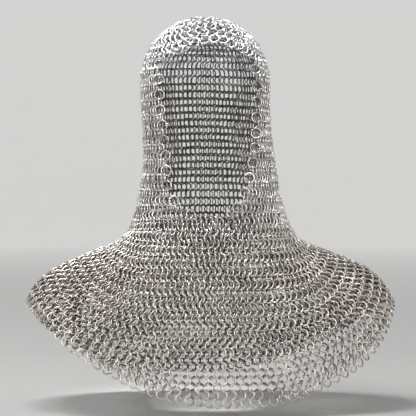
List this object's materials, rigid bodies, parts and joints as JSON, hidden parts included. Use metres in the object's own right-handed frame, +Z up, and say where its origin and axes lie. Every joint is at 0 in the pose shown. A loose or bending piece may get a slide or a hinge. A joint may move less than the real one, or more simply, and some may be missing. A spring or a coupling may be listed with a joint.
{
  "type": "chainmail coif with shoulder mantle",
  "caption": "Mail hood with an open face and a round mantle over the shoulders, made of linked round steel rings.",
  "frame": {"origin": "underside of the crown's top, where the wearer's head carries the coif", "axes": "+Z up, the face opening looks along -Y, +X to the right of a viewer in front"},
  "size_m": [0.4554, 0.2428, 0.467],
  "materials": {
    "crown_mail": "bright zinc-plated round steel wire, rings linked four in one",
    "hood_mail": "bright zinc-plated round steel wire, rings linked four in one",
    "mantle_mail": "zinc-plated round steel wire, slightly warmer and duller, rings linked four in one"
  },
  "bodies": {
    "root": {"crown": "crown_mail", "hood_left": "hood_mail", "hood_right": "hood_mail", "hood_back": "hood_mail", "mantle_front": "mantle_mail", "mantle_right": "mantle_mail", "mantle_left": "mantle_mail", "mantle_back": "mantle_mail"}
  },
  "joints": []
}
